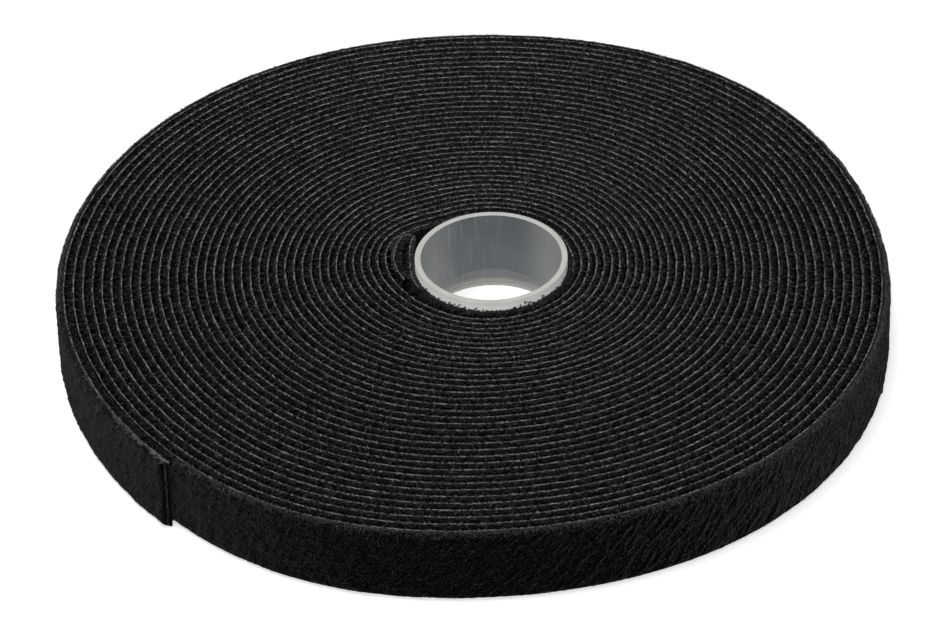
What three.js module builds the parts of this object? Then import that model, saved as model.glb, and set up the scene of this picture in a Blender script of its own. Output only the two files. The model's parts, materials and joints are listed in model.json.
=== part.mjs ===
// Hook and loop tape roll: a two-sided tape wound on a plain plastic core, lying flat on its side.
// Millimetres, +Z up. The origin is at the middle of the roll's outline, on the surface it lies on.
//
// The tape is two tapes bonded back to back, with the hooks facing the core and the loop pile facing out.
// Its inner end is folded back on itself beside the core, and its outer end is cut square and peels off the roll.
// The winding is drawn with fewer turns than the real roll has, of a tape that much thicker,
// so that the roll keeps its real diameter and its turns stay apart.
import * as THREE from 'three';

// Tape
const tapeWidth = 20;
const hookThickness = 1.3;
const loopThickness = 1.5;

// Winding, with angles counted anticlockwise from +X, seen from above
const fullTurns = 23;
const turnGap = 0.55;
const stepsPerTurn = 23;
const foldAngle = 149;
const cutEndAngle = 224;

// Folded inner end
const leaderEndAngle = 193;
const leaderOpening = 0.8;
const leaderSteps = 4;
const foldSteps = 6;

// The bulge over the fold, which spreads round the roll as the turns build up
const bulgeClearance = 0.4;
const bulgeGrowth = 4.4;
const bulgeAngleAtFold = 176;
const bulgeAngleAtOutside = 208;
const bulgeSharpness = 3;

// Free outer end
const freeEndAngle = 30;
const freeEndSteps = 7;
const freeEndGap = 0.55;
const freeEndLift = 0.5;

// Core
const coreDiameter = 38;
const coreWall = 1.5;
const coreLength = 22;
const coreEdgeRound = 0.4;
const coreClearance = 0.3;
const coreEdgeSteps = 2;
const coreSegments = 64;

// Sizes that follow from the driving dimensions
const tapeThickness = hookThickness + loopThickness;
const turnPitch = tapeThickness + turnGap;
const coreRadius = coreDiameter / 2;
const windingAngle = fullTurns * 360 + cutEndAngle - foldAngle;
const rootAngle = windingAngle - freeEndAngle;
const stepAngle = 360 / stepsPerTurn;
const chordFactor = Math.cos(THREE.MathUtils.degToRad(stepAngle / 2));
const firstRadius = (coreRadius + coreClearance) / chordFactor + hookThickness;
const foldOpening = 2 * loopThickness + leaderOpening;
const foldReach = THREE.MathUtils.radToDeg((foldOpening / 2 + tapeThickness) / firstRadius);
const bulgeReach = Math.max(bulgeAngleAtFold - foldAngle + foldReach, leaderEndAngle - bulgeAngleAtFold);
const bulgeAtFold = (tapeThickness + leaderOpening + bulgeClearance) / bulgeShape(bulgeReach, bulgeSharpness);

const materials = {
  core: new THREE.MeshStandardMaterial({ color: 0xd6d5d0, roughness: 0.35, metalness: 0 }),
  hook: new THREE.MeshStandardMaterial({ color: 0x111113, roughness: 0.7, metalness: 0 }),
  loop: new THREE.MeshStandardMaterial({ color: 0x1a1a1c, roughness: 1, metalness: 0 }),
};

function polar(radius, degrees) {
  const angle = THREE.MathUtils.degToRad(degrees);
  return new THREE.Vector2(radius * Math.cos(angle), radius * Math.sin(angle));
}

// The share of the bulge's height that is left at an angle away from its middle.
function bulgeShape(degreesAway, sharpness) {
  return ((1 + Math.cos(THREE.MathUtils.degToRad(degreesAway))) / 2) ** sharpness;
}

// How far the fold pushes a turn out. It starts on the side of the core away from the fold.
function bulge(wound) {
  const start = 180 + bulgeAngleAtFold - foldAngle;
  if (wound < start) return 0;
  const share = (wound - start) / (windingAngle - start);
  const middle = THREE.MathUtils.lerp(bulgeAngleAtFold, bulgeAngleAtOutside, share);
  const sharpness = THREE.MathUtils.lerp(bulgeSharpness, 1, share);
  return (bulgeAtFold + bulgeGrowth * share) * bulgeShape(foldAngle + wound - middle, sharpness);
}

// The bond between the two tapes, at an angle wound on from the fold, from the core's axis.
function bondPoint(wound, lift = 0) {
  const radius = firstRadius + (turnPitch * wound) / 360 + bulge(wound) + lift;
  return polar(radius, foldAngle + wound);
}

// From the cut inner end back to the fold, round it, and out through every turn to the root of the free end.
function windingPath() {
  const points = [];
  const leaderSpan = leaderEndAngle - foldAngle;
  for (let i = 0; i < leaderSteps; i += 1) {
    const wound = leaderSpan * (1 - i / leaderSteps);
    points.push(bondPoint(wound, foldOpening));
  }
  const foldRadius = foldOpening / 2;
  const foldStart = bondPoint(0);
  const outward = foldStart.clone().normalize();
  const back = new THREE.Vector2(outward.y, -outward.x);
  for (let i = 0; i < foldSteps; i += 1) {
    const turn = Math.PI * (1 - i / foldSteps);
    const point = foldStart.clone();
    point.addScaledVector(outward, foldRadius * (1 - Math.cos(turn)));
    point.addScaledVector(back, foldRadius * Math.sin(turn));
    points.push(point);
  }
  for (let wound = 0; wound < rootAngle - stepAngle / 2; wound += stepAngle) {
    points.push(bondPoint(wound));
  }
  points.push(bondPoint(rootAngle));
  return points;
}

// The last stretch of tape, which lies on the roll and lifts a little towards its cut end.
function freeEndPath() {
  const points = [];
  const gapAngle = THREE.MathUtils.radToDeg(freeEndGap / bondPoint(rootAngle).length());
  for (let i = 0; i <= freeEndSteps; i += 1) {
    const share = i / freeEndSteps;
    const wound = rootAngle + gapAngle + (freeEndAngle - gapAngle) * share;
    points.push(bondPoint(wound, freeEndLift * share * share));
  }
  return points;
}

// A path moved sideways, to the right of its direction, with its corners mitred so that the tape keeps its thickness.
function offsetPath(points, distance) {
  return points.map((point, i) => {
    const before = points[Math.max(i - 1, 0)];
    const after = points[Math.min(i + 1, points.length - 1)];
    const inDirection = i > 0 ? point.clone().sub(before).normalize() : null;
    const outDirection = i < points.length - 1 ? after.clone().sub(point).normalize() : inDirection;
    const first = inDirection ?? outDirection;
    const middle = first.clone().add(outDirection).normalize();
    const right = new THREE.Vector2(middle.y, -middle.x);
    return point.clone().addScaledVector(right, distance / middle.dot(first));
  });
}

// A tape standing on edge between two paths, as one closed body with square ends.
function tapeGeometry(left, right) {
  const positions = [];
  const indices = [];
  for (let i = 0; i < left.length; i += 1) {
    positions.push(left[i].x, left[i].y, 0, right[i].x, right[i].y, 0);
    positions.push(right[i].x, right[i].y, tapeWidth, left[i].x, left[i].y, tapeWidth);
  }
  const quad = (a, b, c, d) => indices.push(a, b, c, a, c, d);
  for (let i = 0; i < left.length - 1; i += 1) {
    for (let side = 0; side < 4; side += 1) {
      const next = (side + 1) % 4;
      quad(4 * i + side, 4 * (i + 1) + side, 4 * (i + 1) + next, 4 * i + next);
    }
  }
  quad(0, 1, 2, 3);
  const last = 4 * (left.length - 1);
  quad(last + 3, last + 2, last + 1, last);
  const geometry = new THREE.BufferGeometry();
  geometry.setAttribute('position', new THREE.Float32BufferAttribute(positions, 3));
  geometry.setIndex(indices);
  geometry.computeVertexNormals();
  return geometry;
}

// A plain tube with its edges rounded over, made by turning its wall about the axis.
function coreGeometry() {
  const inside = coreRadius - coreWall;
  const corner = (x, y, fromAngle) => {
    const arc = new THREE.Path();
    arc.absarc(x, y, coreEdgeRound, fromAngle, fromAngle + Math.PI / 2, false);
    return arc.getPoints(coreEdgeSteps);
  };
  const wall = [
    ...corner(inside + coreEdgeRound, coreEdgeRound, Math.PI),
    ...corner(coreRadius - coreEdgeRound, coreEdgeRound, -Math.PI / 2),
    ...corner(coreRadius - coreEdgeRound, coreLength - coreEdgeRound, 0),
    ...corner(inside + coreEdgeRound, coreLength - coreEdgeRound, Math.PI / 2),
  ];
  wall.push(wall[0].clone());
  return new THREE.LatheGeometry(wall, coreSegments).rotateX(Math.PI / 2);
}

// The least distance between stretches of the winding that are wound over each other, on points along both faces.
function leastGap(leftPath, rightPath) {
  const pointsPerStep = 4;
  const spread = (path) => path.slice(1).flatMap((point, i) => Array.from(
    { length: pointsPerStep },
    (_, k) => path[i].clone().lerp(point, k / pointsPerStep),
  ));
  const near = Math.ceil(stepsPerTurn / 3) * pointsPerStep;
  const hooks = spread(leftPath);
  const loops = spread(rightPath);
  let least = Infinity;
  hooks.forEach((hook, i) => {
    loops.forEach((loop, k) => {
      if (Math.abs(i - k) > near) least = Math.min(least, hook.distanceTo(loop));
    });
  });
  return least;
}

function addTape(group, path, hookName, loopName) {
  const hookFace = offsetPath(path, -hookThickness);
  const loopFace = offsetPath(path, loopThickness);
  const pieces = [
    [hookName, tapeGeometry(hookFace, path), materials.hook],
    [loopName, tapeGeometry(path, loopFace), materials.loop],
  ];
  for (const [name, geometry, material] of pieces) {
    const mesh = new THREE.Mesh(geometry, material);
    mesh.name = name;
    group.add(mesh);
  }
  return [hookFace, loopFace];
}

const roll = new THREE.Group();

const core = new THREE.Mesh(coreGeometry(), materials.core);
core.name = 'core_tube';
roll.add(core);

const windingFaces = addTape(roll, windingPath(), 'hook_tape', 'loop_tape');
addTape(roll, freeEndPath(), 'hook_tape_end', 'loop_tape_end');

const outlineMiddle = new THREE.Box3().setFromObject(roll).getCenter(new THREE.Vector3());
roll.position.set(-outlineMiddle.x, -outlineMiddle.y, 0);
console.log(`least gap between the turns of the winding: ${leastGap(...windingFaces).toFixed(2)} mm`);

export default roll;
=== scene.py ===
# A roll of hook and loop tape lying flat on a white table, with its core, hooks, pile and fuzz.
# Metres, +Z up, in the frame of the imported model.
# Angles are in degrees, anticlockwise from +X, seen from above.
import json
import math

import bpy
import numpy as np
from mathutils import Matrix, Vector


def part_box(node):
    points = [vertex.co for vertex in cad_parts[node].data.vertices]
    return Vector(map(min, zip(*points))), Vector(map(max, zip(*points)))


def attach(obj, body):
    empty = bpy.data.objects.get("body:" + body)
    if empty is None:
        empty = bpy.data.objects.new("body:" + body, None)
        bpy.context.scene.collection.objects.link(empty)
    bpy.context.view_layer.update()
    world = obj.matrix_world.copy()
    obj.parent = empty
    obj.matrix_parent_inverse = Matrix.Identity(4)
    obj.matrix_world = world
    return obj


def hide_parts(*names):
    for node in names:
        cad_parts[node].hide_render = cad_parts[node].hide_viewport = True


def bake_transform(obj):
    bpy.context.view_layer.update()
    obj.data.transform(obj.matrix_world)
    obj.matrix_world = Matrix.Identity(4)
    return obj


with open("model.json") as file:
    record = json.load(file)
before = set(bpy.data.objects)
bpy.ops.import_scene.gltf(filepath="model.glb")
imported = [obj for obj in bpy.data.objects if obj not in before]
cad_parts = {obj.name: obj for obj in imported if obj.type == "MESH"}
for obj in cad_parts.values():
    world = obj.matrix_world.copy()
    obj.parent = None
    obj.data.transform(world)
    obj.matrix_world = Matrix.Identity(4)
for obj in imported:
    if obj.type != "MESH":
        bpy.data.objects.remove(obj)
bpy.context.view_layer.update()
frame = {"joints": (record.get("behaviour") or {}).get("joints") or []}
rng = np.random.default_rng(20)
MM = 0.001
UP = np.array([0, 0, 1.0])

# Core, whose place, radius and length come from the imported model
core_low, core_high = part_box("core_tube")
CORE_AXIS = np.array((core_low + core_high)[:2]) / 2
CORE_RADIUS = (core_high.x - core_low.x) / 2
CORE_LENGTH = core_high.z
CORE_WALL = 1.5 * MM
CORE_EDGE = 0.15 * MM
CORE_SEGMENTS = 180

# Tape: two woven backings bonded together, hooks on the side of the core and pile on the outside
TAPE_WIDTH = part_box("loop_tape")[1].z
BACKING = 0.2 * MM
BACKING_STEP = 1.5 * MM
HALF_BOND = 0.005 * MM
STITCH_RADIUS = 0.19 * MM
STITCH_STEP = 0.55 * MM
STITCH_REACH = 0.42 * MM
STITCH_SAG = 0.14 * MM
STITCH_RUN = 15
PILE_STEP = 0.47 * MM
PILE_SHARE = 0.93
PILE_DROP = 0.4 * MM
WALL_PILE = 1.8 * MM
WALL_ROWS = 58
# Upper rows of the outer pile painted dark as shade where the free end covers them
SHADED_COVER_ROWS = 7
HOOK_HEIGHT = 0.95 * MM
HOOK_RADIUS = 0.13 * MM
HOOK_SPACING = 2.6 * MM
FIELD_COLUMN = 1.35 * MM
FIELD_ROW = 1.3 * MM

# Winding, along the bond line, counted from the tip of the fold beside the core
FOLD_ANGLE = 151
CUT_END_ANGLE = 223.9
FULL_TURNS = 37
WOUND = FULL_TURNS * 360 + CUT_END_ANGLE - FOLD_ANGLE
FIRST_RADIUS = CORE_RADIUS + 1.15 * MM
HUG = 159
PITCH_INSIDE = 1.92 * MM
PITCH_OUTSIDE = 2.335 * MM

# The bulge over the fold, which spreads round the roll as the turns build up
BULGE_AT_FOLD = 3.4 * MM
BULGE_AT_OUTSIDE = 9.5 * MM
BULGE_ANGLE_AT_FOLD = 162
BULGE_ANGLE_AT_OUTSIDE = 208
BULGE_SHARPNESS = 9.6
BULGE_FADE = 3.4
EARLY_BULGE = 1.9 * MM
EARLY_SPAN = 200
EARLY_TURNS = 15

# How far the first turns leave that bulge, behind the fold and on its crest: height, angle, spread, turns
FLANK = (-1.25 * MM, 122, 17, 9)
CREST = (0.7 * MM, 158, 12, 2.5)

# The outermost turn's departures from round: waves per turn, height and the angle of a crest
OUTER_WAVES = [(1, 0.46 * MM, 352), (2, 0.54 * MM, 97), (3, 0.35 * MM, 59), (4, 0.68 * MM, 50),
               (5, 0.16 * MM, 46), (6, 0.1 * MM, 55)]
SLACK = 1.5 * MM
SLACK_ANGLE = 245
SLACK_SPREAD = 20
RIPPLE = 0.022 * MM
ANGLE_STEP = 0.05

# Folded inner end
LEADER_END_ANGLE = 193
LEADER_SPAN = LEADER_END_ANGLE - FOLD_ANGLE
LEADER_RADIUS_AT_FOLD = CORE_RADIUS + 6.3 * MM
LEADER_RADIUS_AT_END = CORE_RADIUS + 3.3 * MM
LEADER_CURVE = 1.7
FOLD_LIFT = 2.35 * MM
FOLD_LIFT_SPAN = 28
FOLD_LIFT_CURVE = 1.5
FOLD_STEP = 0.4 * MM
LEADER_STEP = 0.5 * MM

# Space between turns, for the pile and the hooks
ROOM_UNDER_LEADER = 1.7 * MM
ROOM_PAST_LEADER = 3
ROOM_BY_CORE = 1.45 * MM
ROOM_FOR_FULL_HOOKS = 1.6 * MM
LEAST_SPACING = 1.4 * MM
MOST_SPACING = 3.3 * MM

# The stretch of the first turn whose edge is hidden among the hooks beside the core
HIDDEN_FROM = 55
HIDDEN_TO = 200
HIDDEN_BLEND = 10
HIDDEN_SLOPE = 0.06 * MM

# Free outer end, which peels off about the joint's axis
PEEL_POINT = np.array(frame["joints"][0]["pos_m"])
ROOT_ANGLE = math.degrees(math.atan2(PEEL_POINT[1] - CORE_AXIS[1], PEEL_POINT[0] - CORE_AXIS[0])) % 360
ROOT = WOUND - (CUT_END_ANGLE - ROOT_ANGLE)
SPLIT = ROOT - 6
END_LIFT = 0.3 * MM
WALL_START = ROOT - 366
COVERED = WOUND - 360

# How many lengths the pile, the trench fuzz and the wall fuzz are parted into
PILE_PARTS = 6
TRENCH_PARTS = 9
WALL_PARTS = 4

# Fibres: how many in a piece, their mean length and their radius
TRENCH_FIBRES = 24000
WALL_FIBRES = 22000
END_FIBRES = 8800
RIM_FIBRES = 23000
FRAYED_FIBRES = 620
FRAYED_TUFTS = 40
FOLD_FIBRES = 700
FUZZ_LENGTH = 0.5 * MM
RIM_FUZZ_LENGTH = 0.55 * MM
FOLD_FUZZ_LENGTH = 0.6 * MM
TRENCH_FIBRE_RADIUS = 0.036 * MM
WALL_FIBRE_RADIUS = 0.034 * MM
RIM_FIBRE_RADIUS = 0.033 * MM
FRAYED_FIBRE_RADIUS = 0.06 * MM
FOLD_FIBRE_RADIUS = 0.04 * MM

# Stray hairs
TOP_HAIRS = 70
WALL_HAIRS = 30
HAIR_SCALE = 0.28 * MM
HAIR_RADIUS = 0.04 * MM

# Hooks that are in view
CORE_HOOKS = 2200
CORE_HOOKS_FROM = 2
CORE_HOOKS_TO = 372
CORE_HOOK_RADIUS = 0.14 * MM
FOLD_HOOKS = 420
FOLD_HOOK_RADIUS = 0.1 * MM
FOLD_FIELD_FROM = 275
FOLD_FIELD_TO = 365
FOLD_FIELD_LOWEST = 12.9 * MM
END_FIELD_LOWEST = 0.9 * MM


# The winding's line

def bulge(wound):
    """How far the fold beside the core pushes a turn out."""
    start = 180 + BULGE_ANGLE_AT_FOLD - FOLD_ANGLE
    share = np.clip((wound - start) / (WOUND - start), 0, 1)
    height = BULGE_AT_FOLD + (BULGE_AT_OUTSIDE - BULGE_AT_FOLD) * share
    middle = BULGE_ANGLE_AT_FOLD + (BULGE_ANGLE_AT_OUTSIDE - BULGE_ANGLE_AT_FOLD) * share
    sharpness = 1 + (BULGE_SHARPNESS - 1) * (1 - share) ** BULGE_FADE
    sharp = height * ((1 + np.cos(np.radians(FOLD_ANGLE + wound - middle))) / 2) ** sharpness
    begun = np.clip((wound - start) / EARLY_SPAN, 0, 1)
    early = EARLY_BULGE * np.exp((start - wound) / (360 * EARLY_TURNS)) * begun
    wide = early * (1 + np.cos(np.radians(FOLD_ANGLE + wound - BULGE_ANGLE_AT_FOLD))) / 2
    total = sharp + wide
    for rise, angle, spread, turns in (FLANK, CREST):
        away = (FOLD_ANGLE + wound - angle + 180) % 360 - 180
        total += rise * np.exp(-(away / spread) ** 2 - (wound / (360 * turns)) ** 2)
    return np.where(wound < start, 0, total)


# Lengths and phases of waves along the tape, in its line and in its pile
RIPPLES = [(rng.uniform(9, 25) * MM, rng.uniform(0, 2 * np.pi)) for _ in range(5)]
PATCHES = [(rng.uniform(1.8, 5) * MM, rng.uniform(0, 2 * np.pi)) for _ in range(4)]


def waves_along(wound, waves):
    """A sum of sine waves along the tape."""
    turned = np.radians(wound)
    length = FIRST_RADIUS * turned + PITCH_OUTSIDE * turned ** 2 / (4 * np.pi)
    return sum(np.sin(2 * np.pi * length / wave + phase) for wave, phase in waves)


def unevenness(wound):
    """Departures from round that grow towards the outside, and short ripples all along the tape."""
    angle = FOLD_ANGLE + wound
    share = np.clip(wound / WOUND, 0, 1)
    waves = sum(height * np.cos(np.radians(n * (angle - crest))) for n, height, crest in OUTER_WAVES)
    past = (angle - SLACK_ANGLE + 180) % 360 - 180
    slack = SLACK * share * np.exp(-(past / SLACK_SPREAD) ** 2)
    return share * (waves + slack) + RIPPLE * waves_along(wound, RIPPLES)


def bond_radius(wound):
    """The bond line's distance from the core's axis."""
    turns = np.maximum(wound - HUG, 0) / 360
    all_turns = (WOUND - HUG) / 360
    grown = PITCH_INSIDE * turns + (PITCH_OUTSIDE - PITCH_INSIDE) * turns ** 2 / (2 * all_turns)
    fold = FOLD_LIFT * np.clip(1 - wound / FOLD_LIFT_SPAN, 0, 1) ** FOLD_LIFT_CURVE
    end = END_LIFT * np.clip((wound - ROOT) / (WOUND - ROOT), 0, 1) ** 2
    return FIRST_RADIUS + grown + bulge(wound) + unevenness(wound) + fold + end


def polar(radius, wound):
    angle = np.radians(FOLD_ANGLE + wound)
    return CORE_AXIS + np.stack([radius * np.cos(angle), radius * np.sin(angle)], -1)


def tape_length(start, end):
    """Wound angles and the length of tape up to each."""
    wound = np.linspace(start, end, int(end - start) * 2 + 50)
    steps = np.diff(polar(bond_radius(wound), wound), axis=0)
    return wound, np.concatenate([[0], np.cumsum(np.linalg.norm(steps, axis=1))])


def evenly(start, end, step):
    """Wound angles a step of tape apart."""
    wound, length = tape_length(start, end)
    count = round(length[-1] / step) + 1
    return np.interp(np.linspace(0, length[-1], count), length, wound)


def at_random(count, start, end):
    """Wound angles spread at random along the tape."""
    wound, length = tape_length(start, end)
    return np.interp(rng.uniform(0, length[-1], count), length, wound)


def winding_line(start, end, step):
    wound = evenly(start, end, step)
    return wound, polar(bond_radius(wound), wound)


def leader_line(step):
    """The inner end from its cut edge back to the fold, and round it."""
    count = round(LEADER_RADIUS_AT_FOLD * math.radians(LEADER_SPAN) / step)
    share = np.linspace(1, 0, count)
    drop = LEADER_RADIUS_AT_END - LEADER_RADIUS_AT_FOLD
    radius = LEADER_RADIUS_AT_FOLD + drop * share ** LEADER_CURVE
    arm = polar(radius, share * LEADER_SPAN)
    near = polar(bond_radius(np.zeros(1)), np.zeros(1))[0]
    centre = (near + arm[-1]) / 2
    spoke = arm[-1] - centre
    back = np.array([spoke[1], -spoke[0]])
    count = round(np.pi * np.linalg.norm(spoke) / FOLD_STEP)
    turn = np.linspace(0, np.pi, count)[1:-1, None]
    return np.concatenate([arm, centre + spoke * np.cos(turn) + back * np.sin(turn)])


def room(wound):
    """The space between a turn's backing and the next turn's."""
    spacing = bond_radius(wound + 360) - bond_radius(wound)
    between_backings = np.clip(spacing, LEAST_SPACING, MOST_SPACING) - 2 * BACKING
    return np.where(wound < LEADER_SPAN + ROOM_PAST_LEADER, ROOM_UNDER_LEADER, between_backings)


# Meshes

def add_piece(name, points, faces, materials, shade=None, smooth=True):
    """A new mesh object. Faces are arrays of corner numbers, and shade gives each face's material."""
    mesh = bpy.data.meshes.new(name)
    points = np.asarray(points, np.float32).reshape(-1, 3)
    mesh.vertices.add(len(points))
    mesh.vertices.foreach_set("co", points.ravel())
    corners = np.concatenate([np.asarray(f, np.int32).ravel() for f in faces])
    counts = np.concatenate([np.full(len(f), np.shape(f)[1], np.int32) for f in faces])
    starts = np.concatenate([[0], np.cumsum(counts)[:-1]]).astype(np.int32)
    mesh.loops.add(len(corners))
    mesh.loops.foreach_set("vertex_index", corners)
    mesh.polygons.add(len(counts))
    mesh.polygons.foreach_set("loop_start", starts)
    mesh.polygons.foreach_set("use_smooth", np.full(len(counts), smooth))
    for material in materials:
        mesh.materials.append(material)
    if shade is not None:
        mesh.polygons.foreach_set("material_index", shade.astype(np.int32))
    mesh.update(calc_edges=True)
    piece = bpy.data.objects.new(name, mesh)
    bpy.context.scene.collection.objects.link(piece)
    return piece


def unit(vectors):
    return vectors / np.linalg.norm(vectors, axis=-1, keepdims=True)


def scattered(count):
    return unit(rng.normal(size=(count, 3)))


def right_of(line):
    """Unit vectors to the right of a line's direction, which is the side of the pile."""
    along = unit(np.gradient(line, axis=0))
    return np.stack([along[:, 1], -along[:, 0]], -1)


def sweep(line, profiles):
    """A closed strip along a line. Its sections have (side, height) corners, anticlockwise along the line."""
    steps, corners = profiles.shape[:2]
    flat = line[:, None] + right_of(line)[:, None] * profiles[..., :1]
    points = np.concatenate([flat, profiles[..., 1:]], -1)
    numbers = np.arange(steps * corners).reshape(steps, corners)
    following = np.roll(numbers, -1, axis=1)
    quads = np.stack([numbers[:-1], numbers[1:], following[1:], following[:-1]], -1).reshape(-1, 4)
    return points, [quads, numbers[:1, ::-1], numbers[-1:]]


def tubes(lines, binormals, radii, sides):
    """Many short closed tubes. Each line lies in a plane across its binormal."""
    count, rings = lines.shape[:2]
    across = unit(np.cross(np.gradient(lines, axis=1), binormals[:, None]))
    angle = np.arange(sides)[:, None] * 2 * np.pi / sides
    ring = np.cos(angle) * binormals[:, None, None] - np.sin(angle) * across[:, :, None]
    points = lines[:, :, None] + radii[..., None, None] * ring
    numbers = np.arange(count * rings * sides).reshape(count, rings, sides)
    following = np.roll(numbers, -1, axis=2)
    quads = np.stack([numbers[:, :-1], following[:, :-1], following[:, 1:], numbers[:, 1:]], -1)
    return points, [quads.reshape(-1, 4), numbers[:, 0, ::-1], numbers[:, -1]]


def graded(count, limits, lighter=0):
    """Numbers of shades from dark to light, at random. Limits part them on a bell curve."""
    return np.digitize(rng.normal(size=count) + lighter, limits)


def add_fibres(name, roots, ways, bends, lengths, radius, shades, rings):
    """Fine tapering hairs, which start along their way and bend aside. Two rings make straight ones."""
    count = len(roots)
    share = np.linspace(0, 1, rings)[:, None]
    lines = roots[:, None] + lengths[:, None, None] * (ways[:, None] * share + bends[:, None] * share ** 2)
    lines[..., 2] = np.maximum(lines[..., 2], 2 * radius)
    binormals = unit(np.cross(ways, bends + 0.01 * scattered(count)))
    radii = radius * np.linspace(1, 0.4, rings) * rng.uniform(0.7, 1.3, (count, 1))
    points, faces = tubes(lines, binormals, radii, 3)
    shade = np.concatenate([np.repeat(shades, len(f) // count) for f in faces])
    return add_piece(name, points, faces, fibre_shades, shade)


# Materials

def new_material(name):
    material = bpy.data.materials.new(name)
    material.use_nodes = True
    return material, material.node_tree, material.node_tree.nodes["Principled BSDF"]


def add_node(tree, kind, settings=(), **inputs):
    """A node with properties from settings. Inputs set its sockets by name, or by number as in _3."""
    node = tree.nodes.new(kind)
    for key, value in dict(settings).items():
        setattr(node, key, value)
    for key, value in inputs.items():
        socket = node.inputs[int(key[1:]) if key[1:].isdigit() else key.replace("_", " ")]
        if isinstance(value, bpy.types.NodeSocket):
            tree.links.new(value, socket)
        else:
            socket.default_value = value
    return node


def grey(value):
    return (value, value, value, 1)


def place_of(tree, stretch=(1, 1, 1)):
    """The place on the piece, drawn out along the axes that are given less than 1."""
    place = add_node(tree, "ShaderNodeTexCoord").outputs["Object"]
    return add_node(tree, "ShaderNodeMapping", Vector=place, Scale=stretch).outputs["Vector"]


def noise(tree, place, size, detail=3.0):
    """Noise with features of a size in metres."""
    return add_node(tree, "ShaderNodeTexNoise", Vector=place, Scale=1 / size, Detail=detail).outputs["Fac"]


def ramp(tree, value, low, high, colour_low, colour_high):
    """A colour that goes from one to another between two values."""
    node = add_node(tree, "ShaderNodeValToRGB", Fac=value)
    node.color_ramp.elements[0].position = low
    node.color_ramp.elements[0].color = colour_low
    node.color_ramp.elements[1].position = high
    node.color_ramp.elements[1].color = colour_high
    return node.outputs["Color"]


def between(tree, value, low, high):
    """0 at low and 1 at high, with a smooth step between."""
    return add_node(tree, "ShaderNodeMapRange", {"interpolation_type": "SMOOTHSTEP"}, Value=value,
                    From_Min=low, From_Max=high).outputs["Result"]


def maths(tree, operation, first, second=0.0):
    return add_node(tree, "ShaderNodeMath", {"operation": operation}, _0=first, _1=second).outputs["Value"]


def vector_maths(tree, operation, first, second=(0, 0, 0)):
    return add_node(tree, "ShaderNodeVectorMath", {"operation": operation}, _0=first, _1=second)


def mix(tree, share, first, second):
    return add_node(tree, "ShaderNodeMix", {"data_type": "RGBA"}, _0=share, _6=first, _7=second).outputs[2]


def bump(tree, shader, height, distance):
    normal = add_node(tree, "ShaderNodeBump", Height=height, Distance=distance).outputs["Normal"]
    tree.links.new(normal, shader.inputs["Normal"])


def set_surface(shader, roughness, specular):
    shader.inputs["Roughness"].default_value = roughness
    shader.inputs["Specular IOR Level"].default_value = specular


def backing_material(name, dark, light):
    """Black woven nylon, whose lower edge is paler and flecked."""
    material, tree, shader = new_material(name)
    place = place_of(tree)
    flecks = ramp(tree, noise(tree, place, 0.7 * MM, 2), 0.38, 0.66, grey(light * 0.25), grey(light))
    threads = noise(tree, place_of(tree, (1, 1, 0.4)), 0.35 * MM)
    weave = ramp(tree, threads, 0.3, 0.7, grey(dark / 2), grey(dark))
    height = add_node(tree, "ShaderNodeSeparateXYZ", Vector=place).outputs["Z"]
    at_edge = between(tree, height, 0.25 * MM, 0.05 * MM)
    tree.links.new(mix(tree, at_edge, weave, flecks), shader.inputs["Base Color"])
    set_surface(shader, 0.7, 0.06)
    bump(tree, shader, noise(tree, place, 0.3 * MM), 0.08 * MM)
    return material


def pile_material():
    """Brushed black nylon loops outside the roll, darker in the hollows and paler at grazing light."""
    material, tree, shader = new_material("black_pile")
    clumps = noise(tree, place_of(tree, (1, 1, 0.7)), 0.6 * MM, 4)
    tree.links.new(ramp(tree, clumps, 0.42, 0.66, grey(0.0005), grey(0.0065)), shader.inputs["Base Color"])
    set_surface(shader, 0.95, 0.01)
    shader.inputs["Sheen Weight"].default_value = 0.14
    shader.inputs["Sheen Roughness"].default_value = 0.16
    bump(tree, shader, noise(tree, place_of(tree, (1, 1, 0.35)), 0.35 * MM, 4), 0.75 * MM)
    return material


def nylon_material(name, colour, roughness, specular):
    """One shade of nylon. A piece mixes several."""
    material, tree, shader = new_material(name)
    shader.inputs["Base Color"].default_value = grey(colour)
    set_surface(shader, roughness, specular)
    bump(tree, shader, noise(tree, place_of(tree), 0.2 * MM), 0.05 * MM)
    return material


def nylon_shades(name, colours, roughness, specular):
    """Shades of one nylon, from dark to light."""
    return [nylon_material(f"{name}_{i}", colour, roughness, specular) for i, colour in enumerate(colours)]


# Colours of the core, in pairs where a cloudy pattern mixes two
BORE_COLOURS = ((0.1, 0.114, 0.124, 1), (0.135, 0.15, 0.158, 1))
# Painted light on the bore's left and right sides
BORE_LIT_SIDES_COLOUR = (0.31, 0.32, 0.318, 1)
SCUFF_COLOUR = grey(0.34)
# Worn flecks, partly real wear and partly painted light on the left of the bore
WORN_AND_LIT_COLOUR = grey(0.36)
# Painted reflection of the white table in the bore, in a band that rises towards the back
TABLE_REFLECTION_COLOUR = (0.36, 0.355, 0.345, 1)
# Painted reflection of the white table at the foot of the bore
FOOT_REFLECTION_COLOUR = (0.6, 0.59, 0.57, 1)
STAIN_COLOUR = (0.3, 0.23, 0.17, 1)
SPECK_COLOUR = (0.16, 0.12, 0.1, 1)
RIM_COLOURS = ((0.385, 0.38, 0.36, 1), (0.445, 0.44, 0.42, 1))
# Outer side: painted much paler than the rim, a painted glow of light through the thin plastic, palest low
# down by the black tape
GLOWING_SIDE_COLOURS = ((0.8, 0.795, 0.77, 1), (0.88, 0.875, 0.85, 1))
LOWER_SIDE_GLOW_COLOUR = (0.97, 0.965, 0.945, 1)


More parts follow.
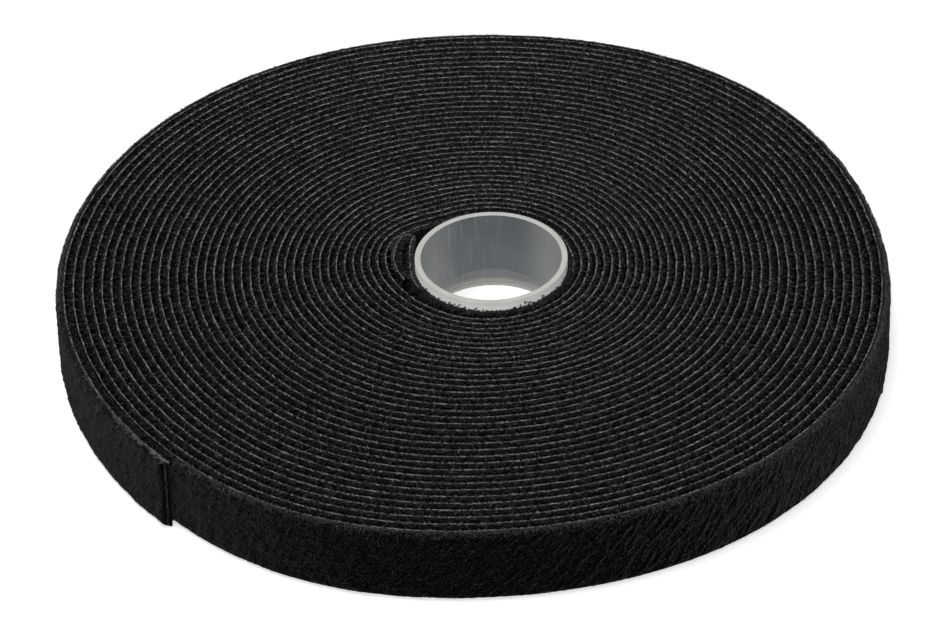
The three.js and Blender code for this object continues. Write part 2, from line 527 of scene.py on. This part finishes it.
def core_material():
    """Pale plastic. Its bore is painted greyer, a painted shade of the black tape behind the thin wall that
    takes the light. Its outer side is painted much paler, a painted glow, and the bore carries painted light
    on its sides and a painted reflection of the table in a band and at its foot.
    """
    material, tree, shader = new_material("core_plastic")
    place = place_of(tree)
    centred = vector_maths(tree, "SUBTRACT", place, (*CORE_AXIS, 0)).outputs["Vector"]
    flat = vector_maths(tree, "MULTIPLY", centred, (1, 1, 0)).outputs["Vector"]
    radius = vector_maths(tree, "LENGTH", flat).outputs["Value"]
    parts = add_node(tree, "ShaderNodeSeparateXYZ", Vector=centred).outputs
    inner = CORE_RADIUS - CORE_WALL
    cloud = noise(tree, place_of(tree, (1, 1, 0.5)), 5 * MM)
    scratches = noise(tree, place_of(tree, (1, 1, 0.07)), 0.8 * MM, 2)
    flecks = noise(tree, place, 0.4 * MM, 1)
    bore = ramp(tree, cloud, 0.3, 0.7, *BORE_COLOURS)
    # Painted light: the bore is paler towards its left and right sides
    aside = between(tree, maths(tree, "ABSOLUTE", parts["X"]), 0.35 * inner, inner)
    bore = mix(tree, aside, bore, BORE_LIT_SIDES_COLOUR)
    # Real scuffs and worn flecks, gathered on the left of the bore, where they also stand in for painted
    # light on its lit left side
    left = between(tree, parts["X"], 0.2 * inner, -0.7 * inner)
    scuffs_and_lit_left = maths(tree, "MULTIPLY", left, 0.6)
    scuffs_and_lit_left = maths(tree, "MULTIPLY", between(tree, scratches, 0.55, 0.75), maths(tree, "ADD", scuffs_and_lit_left, 0.08))
    bore = mix(tree, scuffs_and_lit_left, bore, SCUFF_COLOUR)
    worn_and_lit = maths(tree, "MULTIPLY", between(tree, flecks, 0.56, 0.74), maths(tree, "MULTIPLY", left, 0.5))
    bore = mix(tree, between(tree, flecks, 0.72, 0.79), bore, SCUFF_COLOUR)
    bore = mix(tree, worn_and_lit, bore, WORN_AND_LIT_COLOUR)
    # Painted reflection: a paler band low in the bore, rising towards its back
    reflection_top = maths(tree, "MULTIPLY", parts["Y"], 5.6 * MM / inner)
    below = between(tree, maths(tree, "SUBTRACT", reflection_top, parts["Z"]), 0, 0.6 * MM)
    bore = mix(tree, maths(tree, "MULTIPLY", below, 0.3), bore, TABLE_REFLECTION_COLOUR)
    # Painted reflection: the bore is much paler near its foot
    foot_reflection = between(tree, parts["Z"], 3.2 * MM, 0.9 * MM)
    bore = mix(tree, maths(tree, "MULTIPLY", foot_reflection, 0.85), bore, FOOT_REFLECTION_COLOUR)
    uneven = maths(tree, "ADD", parts["Z"], maths(tree, "MULTIPLY", cloud, 0.5 * MM))
    stain_low = between(tree, uneven, 1.1 * MM, 1.4 * MM)
    stain_high = between(tree, uneven, 1.9 * MM, 1.6 * MM)
    stain = maths(tree, "MULTIPLY", stain_low, stain_high)
    bore = mix(tree, maths(tree, "MULTIPLY", stain, 0.5), bore, STAIN_COLOUR)
    dark_flecks = between(tree, flecks, 0.4, 0.32)
    specks = maths(tree, "MULTIPLY", dark_flecks, between(tree, parts["Z"], 2.4 * MM, 1.8 * MM))
    bore = mix(tree, maths(tree, "MULTIPLY", specks, 0.5), bore, SPECK_COLOUR)
    rim = ramp(tree, cloud, 0.3, 0.7, *RIM_COLOURS)
    # Painted glow: the outer side is much paler than the rim, and paler still lower down
    side = ramp(tree, cloud, 0.3, 0.7, *GLOWING_SIDE_COLOURS)
    lower = between(tree, parts["Z"], CORE_LENGTH - 0.5 * MM, CORE_LENGTH - 1.6 * MM)
    side = mix(tree, lower, side, LOWER_SIDE_GLOW_COLOUR)
    below_rim = between(tree, parts["Z"], CORE_LENGTH - 0.4 * CORE_EDGE, CORE_LENGTH - 1.1 * CORE_EDGE)
    rim = mix(tree, below_rim, rim, side)
    at_rim = between(tree, radius, inner + 0.01 * MM, inner + 0.1 * MM)
    tree.links.new(mix(tree, at_rim, bore, rim), shader.inputs["Base Color"])
    rough = add_node(tree, "ShaderNodeMapRange", Value=scratches, To_Min=0.4, To_Max=0.6).outputs["Result"]
    tree.links.new(rough, shader.inputs["Roughness"])
    bump(tree, shader, scratches, 0.02 * MM)
    return material


backing_hook = backing_material("hook_backing", 0.006, 0.12)
backing_loop = backing_material("loop_backing", 0.006, 0.12)
wall_pile_black = pile_material()
pile_shades = nylon_shades("pile", (0.001, 0.002, 0.004, 0.007), 0.9, 0.02)
fibre_shades = nylon_shades("fibre", (0.006, 0.03, 0.09, 0.2), 0.6, 0.08)
# Selvedge shades: partly paler yarn, partly a painted highlight and painted glints on the glossy black edge
yarn_and_glint_shades = nylon_shades("selvedge", (0.15, 0.19, 0.235, 0.285), 0.6, 0.2)
hook_shades = nylon_shades("hook", (0.004, 0.01, 0.07), 0.35, 0.3)


# Pieces

def finished(piece, slot, *nodes):
    if nodes:
        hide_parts(*nodes)


def on_roll(piece, slot, *nodes):
    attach(piece, "roll")
    finished(piece, slot, *nodes)


def on_end(piece, slot, *nodes):
    """A piece of the free end, whose placement is baked into its mesh."""
    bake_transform(piece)
    finished(piece, slot, *nodes)


def core_tube():
    """A turned tube with rounded rims."""
    inner = CORE_RADIUS - CORE_WALL + CORE_EDGE
    outer = CORE_RADIUS - CORE_EDGE
    low = CORE_EDGE
    high = CORE_LENGTH - CORE_EDGE
    profile = []
    for radius, height, start in [(outer, low, -90), (outer, high, 0), (inner, high, 90), (inner, low, 180)]:
        for angle in np.radians(start + np.linspace(0, 90, 5)):
            profile.append((radius + CORE_EDGE * np.cos(angle), height + CORE_EDGE * np.sin(angle)))
    profile = np.array(profile)
    angle = np.linspace(0, 2 * np.pi, CORE_SEGMENTS, endpoint=False)
    points = np.stack([
        CORE_AXIS[0] + np.outer(np.cos(angle), profile[:, 0]),
        CORE_AXIS[1] + np.outer(np.sin(angle), profile[:, 0]),
        np.tile(profile[:, 1], (CORE_SEGMENTS, 1)),
    ], -1)
    numbers = np.arange(points[..., 0].size).reshape(CORE_SEGMENTS, -1)
    following = np.roll(numbers, -1, axis=0)
    quads = np.stack([numbers, following, np.roll(following, -1, axis=1), np.roll(numbers, -1, axis=1)], -1)
    return add_piece("core_tube_turned", points, [quads.reshape(-1, 4)], [core_material()])


def backing(name, line, inside, outside, material):
    """One woven backing, from its lower edge up to the selvedge, cut from a strip as long as the line."""
    top = TAPE_WIDTH - STITCH_RADIUS
    profile = np.array([(inside, 0), (outside, 0), (outside, top), (inside, top)])
    points, faces = sweep(line, np.tile(profile, (len(line), 1, 1)))
    piece = add_piece(name, points, faces, [material])
    return piece


def selvedge(name, line, dimmer=0, sunk=0):
    """The edge of the weave: short slanted stitches, in brighter and dimmer stretches. Their pale shades are
    partly paler yarn and partly a painted highlight of the glossy edge, each stitch's shade partly a painted
    glint.
    """
    count = len(line)
    level = np.zeros((count, 1))
    along = np.concatenate([unit(np.gradient(line, axis=0)), level], 1)
    out = np.concatenate([right_of(line), level], 1)
    height = TAPE_WIDTH - STITCH_RADIUS * rng.uniform(0.9, 1.7, (count, 1)) - np.reshape(sunk, (-1, 1))
    middle = np.concatenate([line, height], 1) + out * rng.normal(0, 0.035 * MM, (count, 1))
    ways = unit(along + out * rng.normal(0.3, 0.18, (count, 1)))
    reach = STITCH_REACH * rng.uniform(0.8, 1.25, (count, 1, 1)) * np.array([[-1], [0], [1]])
    sag = STITCH_SAG * np.array([[1], [0], [1]])
    lines = middle[:, None] + ways[:, None] * reach - UP * sag
    radii = STITCH_RADIUS * np.array([0.5, 1, 0.5]) * rng.uniform(0.8, 1.15, (count, 1))
    points, faces = tubes(lines, unit(np.cross(ways, UP)), radii, 4)
    window = np.ones(STITCH_RUN) / STITCH_RUN ** 0.5
    stretch = np.convolve(rng.normal(size=count + STITCH_RUN - 1), window, "valid")
    shades = graded(count, [-0.8, 0.4, 1.9], 0.5 * stretch - dimmer)
    shade = np.concatenate([np.repeat(shades, len(f) // count) for f in faces])
    return add_piece(name, points, faces, yarn_and_glint_shades, shade)


def pile_bed(name, line, depth, patches):
    """The pile between two turns, in patches, lower than the selvedges, paler next to its own backing and
    darker lower down, a painted shade of the gap between the turns.
    """
    count = len(line)
    across = BACKING + depth[:, None] * np.array([[0, 0.26, 0.52, 0.78, 1]])
    across[:, 1:] += rng.normal(0, 0.06 * MM, (count, 4))
    fall = PILE_DROP * np.array([[0.7, 0.9, 1.3, 2.1, 3.2]]) * rng.gamma(4, 1 / 4, (count, 5))
    fall *= np.exp(-0.25 * patches[:, None])
    heights = np.concatenate([fall[:, ::4], TAPE_WIDTH - fall[:, ::-1]], 1)
    sides = np.concatenate([across[:, ::4], across[:, ::-1]], 1)
    points, faces = sweep(line, np.stack([sides, heights], -1))
    # Painted shade: faces lower in the gap between the turns and the hidden sides get darker shades, the top
    # next to its own backing paler
    lighter = np.tile([-3, -3, -1.3, -0.2, 0.9, 1.7, -3], count - 1) + 0.6 * np.repeat(patches[1:], 7)
    shade = np.concatenate([graded(len(lighter), [-0.6, 0.5, 1.6], lighter), [0, 0]])
    return add_piece(name, points, faces, pile_shades, shade)


def crown(height):
    """How much of the pile's depth is left near the tape's edges."""
    return 1 - 0.8 * np.exp(-np.minimum(height, TAPE_WIDTH - height) / (0.5 * MM))


def wall_pile(name, line, covered=0, ending=False):
    """The pile on the outside of the roll, clumped, rounded off at both edges and at the cut end.

    Where the free end covers it, its upper edge is painted as dark as the pile between the turns, a painted
    shade under the free end.
    """
    count = len(line)
    height = np.linspace(0.12 * MM, TAPE_WIDTH - 0.15 * MM, WALL_ROWS)
    grain = rng.normal(0, 1, (count, WALL_ROWS))
    shifts = [(step // 2 + aside, step) for step in range(-3, 4) for aside in (0, 1)]
    clumps = sum(np.roll(grain, shift, (0, 1)) for shift in shifts)
    clumps *= np.clip(height / (1.5 * MM), 0.15, 1) / len(shifts) ** 0.5
    depth = np.full((count, 1), WALL_PILE)
    if ending:
        left = np.arange(count)[::-1, None] * PILE_STEP
        depth *= 1 - 0.75 * np.clip(1 - left / (1.4 * MM), 0, 1) ** 2
    profiles = np.empty((count, WALL_ROWS + 2, 2))
    profiles[:, 0] = (BACKING, 0.1 * MM)
    profiles[:, -1] = (BACKING, TAPE_WIDTH - 0.12 * MM)
    profiles[:, 1:-1, 0] = BACKING + depth * crown(height) * (0.96 + 0.09 * clumps)
    profiles[:, 1:-1, 1] = height
    profiles[:, 4:-4, 1] += rng.normal(0, 0.07 * MM, (count, WALL_ROWS - 6))
    points, faces = sweep(line, profiles)
    shade = np.zeros(sum(len(f) for f in faces))
    # Painted shade: the face of the cut end gets the darkest pile shade
    shade[-1] = ending
    # Painted shade: the upper rows under the free end get the darkest pile shade
    shade[:covered * (WALL_ROWS + 2)].reshape(-1, WALL_ROWS + 2)[:, -SHADED_COVER_ROWS:] = 1
    return add_piece(name, points, faces, [wall_pile_black, pile_shades[0]], shade)


def place_on(wound, side, height):
    """Points beside the bond line, with the directions out of the roll and along the tape."""
    line = polar(bond_radius(wound), wound)
    before = wound - ANGLE_STEP
    along = unit(line - polar(bond_radius(before), before))
    out = np.stack([along[:, 1], -along[:, 0]], -1)
    level = np.zeros((len(wound), 1))
    points = np.concatenate([line + out * side[:, None], height[:, None]], 1)
    return points, np.concatenate([out, level], 1), np.concatenate([along, level], 1)


def place_on_leader(share, side, height):
    """Points beside the folded inner end, from its cut edge to the tip of the fold, with directions."""
    line = leader_line(LEADER_STEP)
    picked = np.minimum(share * len(line), len(line) - 1).astype(int)
    level = np.zeros((len(share), 1))
    out = np.concatenate([right_of(line)[picked], level], 1)
    along = np.cross(UP, out)
    points = np.concatenate([line[picked], height[:, None]], 1) + out * side[:, None]
    return points + along * rng.normal(0, 0.2 * MM, (len(share), 1)), out, along


def fibre_lengths(count, mean):
    return np.minimum(rng.gamma(4, mean / 4, count), 2 * mean)


def trench_fuzz(name, count, start, end):
    """Fibres that stand out of the pile between the turns, most and highest next to the backing."""
    wound = at_random(count, start, end)
    across = rng.beta(0.95, 2.3, count)
    side = BACKING + room(wound) * (across - 0.03)
    height = TAPE_WIDTH - PILE_DROP * (0.45 + 2.4 * across) * rng.uniform(0.6, 1.3, count)
    roots, out, along = place_on(wound, side, height)
    ways = unit(out * rng.normal(0.2, 0.45, (count, 1)) + along * rng.normal(0, 1, (count, 1))
                + UP * rng.uniform(0.1, 0.6, (count, 1)))
    bends = 0.5 * scattered(count) - UP * 0.3
    lengths = fibre_lengths(count, FUZZ_LENGTH)
    # Painted shade: fibres further from the backing, which stand lower in the gap between the turns, get
    # darker shades; the patches are random
    lighter = 2.4 * (0.35 - across) + 0.5 * waves_along(wound, PATCHES)
    shades = graded(count, [-1.25, 0.1, 1.6], lighter)
    return add_fibres(name, roots, ways, bends, lengths, TRENCH_FIBRE_RADIUS, shades, rings=2)


def wall_fuzz(name, count, start, end):
    """Fibres brushed over the outside of the roll."""
    wound = at_random(count, start, end)
    height = rng.uniform(0.2 * MM, TAPE_WIDTH - 0.4 * MM, count)
    side = BACKING + WALL_PILE * crown(height) * rng.uniform(0.92, 1.05, count)
    roots, out, along = place_on(wound, side, height)
    rise = rng.normal(0.8, 0.6, (count, 1))
    ways = unit(UP * rise + along * rng.normal(0.4, 0.5, (count, 1))
                + out * rng.uniform(0.05, 0.4, (count, 1)))
    bends = np.cross(out, ways) * rng.normal(0, 0.6, (count, 1)) - out * 0.3
    lengths = fibre_lengths(count, FUZZ_LENGTH)
    shades = graded(count, [0.9, 1.8, 2.6])
    return add_fibres(name, roots, ways, bends, lengths, WALL_FIBRE_RADIUS, shades, rings=2)


def rim_fuzz(name, wound, spread, lighter, innermost, radius):
    """Fuzz along the upper edge of the outermost turn, over the shoulder of its pile, paler towards the edge
    as a painted highlight of the light falling on the top.
    """
    count = len(wound)
    height = TAPE_WIDTH - 0.05 * MM - rng.exponential(spread, count)
    side = BACKING + WALL_PILE * crown(height) * rng.uniform(innermost, 1.1, count)
    roots, out, along = place_on(wound, side, height)
    ways = unit(out * rng.normal(0.4, 0.5, (count, 1)) + along * rng.normal(0, 0.8, (count, 1))
                + UP * rng.normal(0.3, 0.5, (count, 1)))
    bends = 0.7 * scattered(count) - UP * 0.3
    lengths = fibre_lengths(count, RIM_FUZZ_LENGTH)
    # Painted light: fibres nearer the top edge get paler shades, where the light from above falls
    shades = graded(count, [-0.8, 0.4, 1.7], lighter - 1.2 * (TAPE_WIDTH - height) / MM)
    return add_fibres(name, roots, ways, bends, lengths, radius, shades, rings=2)


def stray_hairs(name, count, start, end, on_top):
    """Long pale hairs and lint that cling to the tape."""
    wound = at_random(count, start, end)
    if on_top:
        side = BACKING + room(wound) * rng.uniform(-0.3, 1, count)
        height = np.full(count, TAPE_WIDTH - 0.05 * MM)
    else:
        height = rng.uniform(1 * MM, TAPE_WIDTH - 1.5 * MM, count)
        side = BACKING + WALL_PILE * crown(height)
    roots, out, along = place_on(wound, side, height)
    facing = np.tile(UP, (count, 1)) if on_top else out
    turn = rng.uniform(0, 2 * np.pi, (count, 1))
    ways = along * np.cos(turn) + np.cross(facing, along) * np.sin(turn)
    bends = np.cross(facing, ways) * rng.normal(0, 0.5, (count, 1))
    roots = roots + facing * 0.1 * MM
    lengths = rng.gamma(5, HAIR_SCALE, count)
    shades = graded(count, [-9, -9, 0.3])
    return add_fibres(name, roots, ways, bends, lengths, HAIR_RADIUS, shades, rings=5)


def add_hooks(name, places, size, radius=HOOK_RADIUS, pale=0):
    """Bent monofilament hooks, on the face of the tape away from the pile."""
    roots, out, along = places
    count = len(roots)
    lean = unit(along * rng.choice([-1, 1], (count, 1)) + UP * rng.normal(0, 0.35, (count, 1)))
    curl = 0.24 * HOOK_HEIGHT
    angle = np.radians([0, 60, 120, 195])
    rise = np.concatenate([[0], HOOK_HEIGHT - curl + curl * np.sin(angle)])[:, None]
    reach = np.concatenate([[0], curl * (1 - np.cos(angle))])[:, None]
    lines = roots[:, None] + size[:, None, None] * (lean[:, None] * reach - out[:, None] * rise)
    radii = radius * np.array([1.1, 1, 1, 1, 0.85]) * rng.uniform(0.9, 1.15, (count, 1))
    points, faces = tubes(lines, unit(np.cross(out, lean)), radii, 4)
    shades = rng.choice(3, count, p=[0.5 - pale / 2, 0.5 - pale / 2, pale])
    shade = np.concatenate([np.repeat(shades, len(f) // count) for f in faces])
    return add_piece(name, points, faces, hook_shades, shade)


def hook_places(wound, height):
    return place_on(wound, np.full(len(wound), -BACKING), height)


def hook_rows(name, start, end):
    """One row of hooks below the upper edge of the tape."""
    wound = evenly(start, end, HOOK_SPACING)
    wound += np.degrees(rng.uniform(-0.4, 0.4, len(wound)) * HOOK_SPACING / bond_radius(wound))
    height = TAPE_WIDTH - 0.6 * MM + rng.normal(0, 0.1 * MM, len(wound))
    behind = np.where(wound > 360, room(wound - 360), ROOM_BY_CORE)
    return add_hooks(name, hook_places(wound, height), np.clip(behind / ROOM_FOR_FULL_HOOKS, 0.4, 1))


def hooks_by_core(name):
    """The crowded hooks of the first turn, in the gap beside the core."""
    count = CORE_HOOKS
    wound = at_random(count, CORE_HOOKS_FROM, CORE_HOOKS_TO)
    height = TAPE_WIDTH - 0.1 * MM - rng.exponential(0.5 * MM, count)
    height += np.where(rng.random(count) < 0.06, rng.uniform(0.3, 1.1, count) * MM, -0.12 * MM)
    return add_hooks(name, hook_places(wound, height), rng.uniform(0.45, 1.05, count), CORE_HOOK_RADIUS)


def fold_hooks(name):
    """Hooks on the outside of the folded inner end, some of them pale, most of them round its tip."""
    count = FOLD_HOOKS
    height = TAPE_WIDTH - 0.25 * MM - rng.exponential(0.4 * MM, count)
    places = place_on_leader(rng.beta(2.6, 0.8, count), np.full(count, -BACKING), height)
    return add_hooks(name, places, rng.uniform(0.3, 0.7, count), FOLD_HOOK_RADIUS, pale=0.3)


def fold_fuzz(name):
    """Fibres on the pile inside the folded end."""
    count = FOLD_FIBRES
    side = BACKING + rng.uniform(0, ROOM_UNDER_LEADER, count)
    height = TAPE_WIDTH - PILE_DROP * rng.uniform(0.3, 2.2, count)
    roots, out, along = place_on_leader(rng.uniform(0, 0.97, count), side, height)
    ways = unit(out * rng.normal(0.2, 0.6, (count, 1)) + along * rng.normal(0, 1, (count, 1))
                + UP * rng.uniform(0, 0.5, (count, 1)))
    lengths = fibre_lengths(count, FOLD_FUZZ_LENGTH)
    bends = 0.5 * scattered(count)
    shades = graded(count, [-0.8, 0.6, 1.9])
    return add_fibres(name, roots, ways, bends, lengths, FOLD_FIBRE_RADIUS, shades, rings=2)


def hook_field(name, start, end, lowest):
    """A field of hooks on the tape's inner face, where it is in view."""
    columns = evenly(start, end, FIELD_COLUMN)
    rows = np.arange(lowest, TAPE_WIDTH - 0.6 * MM, FIELD_ROW)
    wound = np.repeat(columns, len(rows)) + rng.normal(0, 0.08, len(columns) * len(rows))
    height = np.tile(rows, len(columns)) + rng.normal(0, 0.12 * MM, len(wound))
    return add_hooks(name, hook_places(wound, height), np.full(len(wound), 0.85))


def in_parts(start, end, parts):
    """The start and end of equal lengths of tape."""
    ends = evenly(start, end, tape_length(start, end)[1][-1] / parts)
    return list(enumerate(zip(ends[:-1], ends[1:]), 1))


def build_winding():
    leader = leader_line(BACKING_STEP / 2)
    _, line = winding_line(0, SPLIT, BACKING_STEP)
    line = np.concatenate([leader, line])
    hook_side = backing("hook_tape_backing", line, -BACKING, -HALF_BOND, backing_hook)
    on_roll(hook_side, "hook_nylon", "hook_tape")
    loop_side = backing("loop_tape_backing", line, HALF_BOND, BACKING, backing_loop)
    on_roll(loop_side, "loop_pile", "loop_tape")
    fine_leader = leader_line(PILE_STEP)
    share = np.linspace(0, 1, len(fine_leader))
    on_roll(selvedge("selvedge_leader", fine_leader, dimmer=1 + 2 * share ** 2), "loop_pile")
    depth = (1.2 + 0.5 * np.sin(np.pi * share)) * MM
    on_roll(pile_bed("loop_pile_leader", fine_leader, depth, 0 * share), "loop_pile")
    for number, (start, end) in in_parts(0, WALL_START, PILE_PARTS):
        wound, line = winding_line(start, end, PILE_STEP)
        patches = waves_along(wound, PATCHES)
        on_roll(pile_bed(f"loop_pile_{number}", line, room(wound) * PILE_SHARE, patches), "loop_pile")
        wound, line = winding_line(start, end, STITCH_STEP)
        inside = np.minimum(wound - HIDDEN_FROM, HIDDEN_TO - wound)
        sunk = HIDDEN_SLOPE * np.clip(inside, 0, HIDDEN_BLEND)
        on_roll(selvedge(f"selvedge_{number}", line, sunk=sunk), "loop_pile")
        on_roll(hook_rows(f"hook_row_{number}", start + 2, end), "hook_nylon")
    for number, (start, end) in in_parts(0, COVERED, TRENCH_PARTS):
        on_roll(trench_fuzz(f"pile_fuzz_{number}", TRENCH_FIBRES, start, end), "loop_pile")
    on_roll(hooks_by_core("hooks_by_core"), "hook_nylon")
    by_fold = hook_field("hooks_by_fold", FOLD_FIELD_FROM, FOLD_FIELD_TO, FOLD_FIELD_LOWEST)
    on_roll(by_fold, "hook_nylon")
    on_roll(fold_hooks("hooks_on_fold"), "hook_nylon")
    on_roll(fold_fuzz("fold_fuzz"), "loop_pile")
    on_roll(stray_hairs("stray_hairs", TOP_HAIRS, 360, WALL_START, True), "loop_pile")


def build_wall():
    _, line = winding_line(WALL_START, SPLIT, STITCH_STEP)
    on_roll(selvedge("selvedge_wall", line, dimmer=0.4), "loop_pile")
    wound, line = winding_line(WALL_START, SPLIT, PILE_STEP)
    on_roll(wall_pile("loop_pile_wall", line, covered=np.sum(wound < COVERED)), "loop_pile")
    on_roll(hook_rows("hook_row_wall", WALL_START, SPLIT), "hook_nylon")
    for number, (start, end) in in_parts(WALL_START, SPLIT, WALL_PARTS):
        on_roll(wall_fuzz(f"wall_fuzz_{number}", WALL_FIBRES, start, end), "loop_pile")
    rim = at_random(RIM_FIBRES, WALL_START, SPLIT)
    # Painted shade and light: rim fuzz under the free end is darker, the open rim paler where light falls on
    # it
    lighter = np.where(rim < COVERED, 0.1, 1.2)
    on_roll(rim_fuzz("rim_fuzz", rim, 0.45 * MM, lighter, 0.7, RIM_FIBRE_RADIUS), "loop_pile")
    on_roll(stray_hairs("wall_hairs", WALL_HAIRS, WALL_START + 36, SPLIT, False), "loop_pile")


def build_free_end():
    _, line = winding_line(SPLIT, WOUND, BACKING_STEP)
    hook_side = backing("hook_end_backing", line, -BACKING, -HALF_BOND, backing_hook)
    on_end(hook_side, "hook_nylon", "hook_tape_end")
    loop_side = backing("loop_end_backing", line, HALF_BOND, BACKING, backing_loop)
    on_end(loop_side, "loop_pile", "loop_tape_end")
    on_end(selvedge("selvedge_end", winding_line(SPLIT, WOUND, STITCH_STEP)[1], dimmer=0.2), "loop_pile")
    on_end(wall_pile("loop_end_pile", winding_line(SPLIT, WOUND, PILE_STEP)[1], ending=True), "loop_pile")
    on_end(wall_fuzz("end_fuzz", END_FIBRES, SPLIT, WOUND - 0.3), "loop_pile")
    tufts = (WOUND - SPLIT) * rng.beta(0.7, 1.6, FRAYED_TUFTS)
    frayed = np.abs(rng.choice(tufts, FRAYED_FIBRES) + rng.normal(0, 0.35, FRAYED_FIBRES)) + 0.2
    lighter = 3 - frayed / 9
    fuzz = rim_fuzz("end_rim_fuzz", WOUND - frayed, 0.1 * MM, lighter, 0.05, FRAYED_FIBRE_RADIUS)
    on_end(fuzz, "loop_pile")
    on_end(hook_field("end_hooks", SPLIT + 0.3, WOUND - 0.4, END_FIELD_LOWEST), "hook_nylon")


# Stage

# Camera
VIEW_ELEVATION = 37.498
VIEW_DISTANCE = 1.352
VIEW_ROLL = 1.416
VIEW_YAW = -0.034
VIEW_PITCH = -0.193
FRAME_WIDTH = 945
FOCAL_PIXELS = 5401.4
SENSOR = 36
AIM_FROM_CORE = (-4.18 * MM, -2.19 * MM)

# Table and surroundings
FLOOR_HALF = 6
FLOOR_GLOW = 0.45
WORLD_LIGHT = 0.4

# Area lights: name, watts, size and place
LIGHTS = [("overhead", 14, 0.9, (-0.3, 0.1, 1.35)), ("front", 7, 0.6, (0.1, -1.15, 0.9))]


def add_camera():
    data = bpy.data.cameras.new("camera")
    data.sensor_width = SENSOR
    data.lens = SENSOR * FOCAL_PIXELS / FRAME_WIDTH
    data.clip_end = 20
    camera = bpy.data.objects.new("camera", data)
    bpy.context.scene.collection.objects.link(camera)
    rise = math.radians(VIEW_ELEVATION)
    back = Vector((0, -math.cos(rise), math.sin(rise)))
    level = Matrix(((1, 0, 0), (0, math.sin(rise), math.cos(rise)), back))
    turned = Matrix.Rotation(math.radians(VIEW_ROLL), 3, "Z")
    turned @= Matrix.Rotation(math.radians(VIEW_PITCH), 3, "X")
    turned @= Matrix.Rotation(math.radians(VIEW_YAW), 3, "Y")
    aim = Vector((CORE_AXIS[0] + AIM_FROM_CORE[0], CORE_AXIS[1] + AIM_FROM_CORE[1], 0))
    place = Matrix.Translation(aim + back * VIEW_DISTANCE)
    camera.matrix_world = place @ (turned @ level).transposed().to_4x4()
    bpy.context.scene.camera = camera


def add_floor():
    """A white table, which the camera sees a little brighter than it is lit."""
    material, tree, shader = new_material("white_table")
    shader.inputs["Base Color"].default_value = grey(0.9)
    set_surface(shader, 0.9, 0.1)
    shader.inputs["Emission Color"].default_value = grey(1)
    path = add_node(tree, "ShaderNodeLightPath").outputs
    seen = maths(tree, "MAXIMUM", path["Is Camera Ray"], path["Is Glossy Ray"])
    tree.links.new(maths(tree, "MULTIPLY", seen, FLOOR_GLOW), shader.inputs["Emission Strength"])
    half = FLOOR_HALF
    points = [(-half, -half, 0), (half, -half, 0), (half, half, 0), (-half, half, 0)]
    add_piece("floor", points, [np.array([[0, 1, 2, 3]])], [material], smooth=False)


def add_light(name, power, size, place):
    data = bpy.data.lights.new(name, "AREA")
    data.energy = power
    data.size = size
    light = bpy.data.objects.new(name, data)
    bpy.context.scene.collection.objects.link(light)
    light.location = place
    light.rotation_euler = Vector(place).to_track_quat("Z", "Y").to_euler()


def add_world():
    world = bpy.data.worlds.new("white_studio")
    bpy.context.scene.world = world
    world.use_nodes = True
    tree = world.node_tree
    background = tree.nodes["Background"]
    background.inputs["Color"].default_value = grey(1)
    path = add_node(tree, "ShaderNodeLightPath").outputs
    seen = maths(tree, "MAXIMUM", path["Is Camera Ray"], path["Is Transmission Ray"])
    strength = add_node(tree, "ShaderNodeMix", {"data_type": "FLOAT"}, _0=seen, _2=WORLD_LIGHT, _3=1.0)
    tree.links.new(strength.outputs[0], background.inputs["Strength"])


on_roll(core_tube(), "core_plastic", "core_tube")
build_winding()
build_wall()
build_free_end()
add_floor()
add_world()
for light in LIGHTS:
    add_light(*light)
add_camera()
bpy.context.scene.view_settings.view_transform = "Standard"
